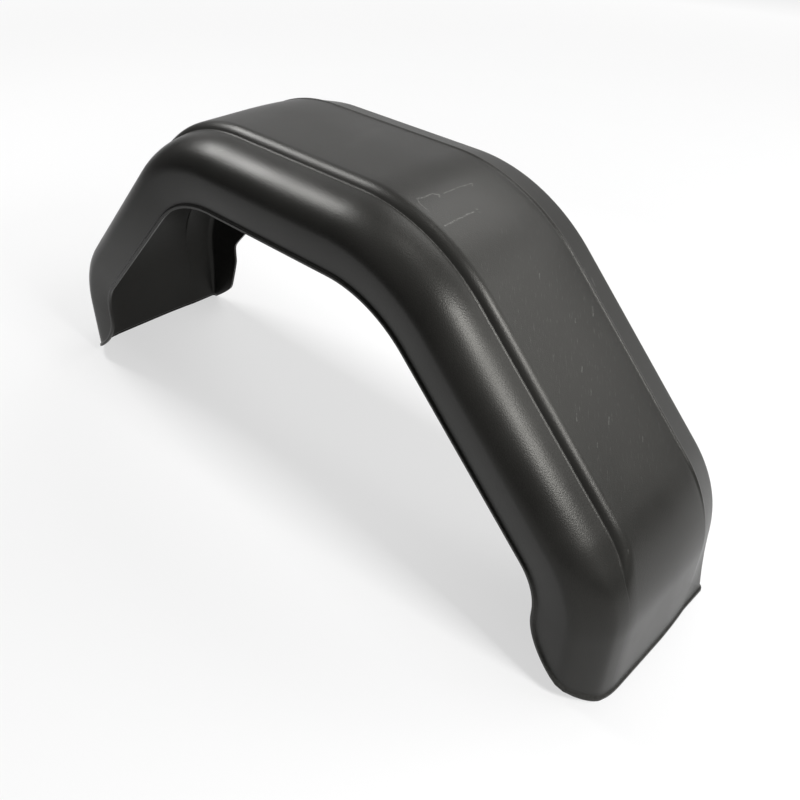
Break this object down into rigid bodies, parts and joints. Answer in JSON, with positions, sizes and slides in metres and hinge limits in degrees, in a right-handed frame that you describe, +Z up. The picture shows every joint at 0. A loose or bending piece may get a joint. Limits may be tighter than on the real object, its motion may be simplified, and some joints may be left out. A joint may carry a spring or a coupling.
{
  "type": "trailer mudguard",
  "caption": "One-piece moulded plastic mudguard with a flat top, sloping sides, upright flaps, an outer skirt with a stepped rim and an inner fixing flange.",
  "frame": {"origin": "under the middle of the mudguard, on the plane of the flaps' lower edges", "axes": "+X along the mudguard from flap to flap, +Y from the skirt on the outer side to the fixing flange on the inner side, +Z up"},
  "size_m": [0.7884, 0.2004, 0.3605],
  "materials": {
    "black_plastic": "satin black moulded plastic with a fine grain and light scuffs"
  },
  "bodies": {
    "root": {"mudguard_shell": "black_plastic"}
  },
  "joints": []
}
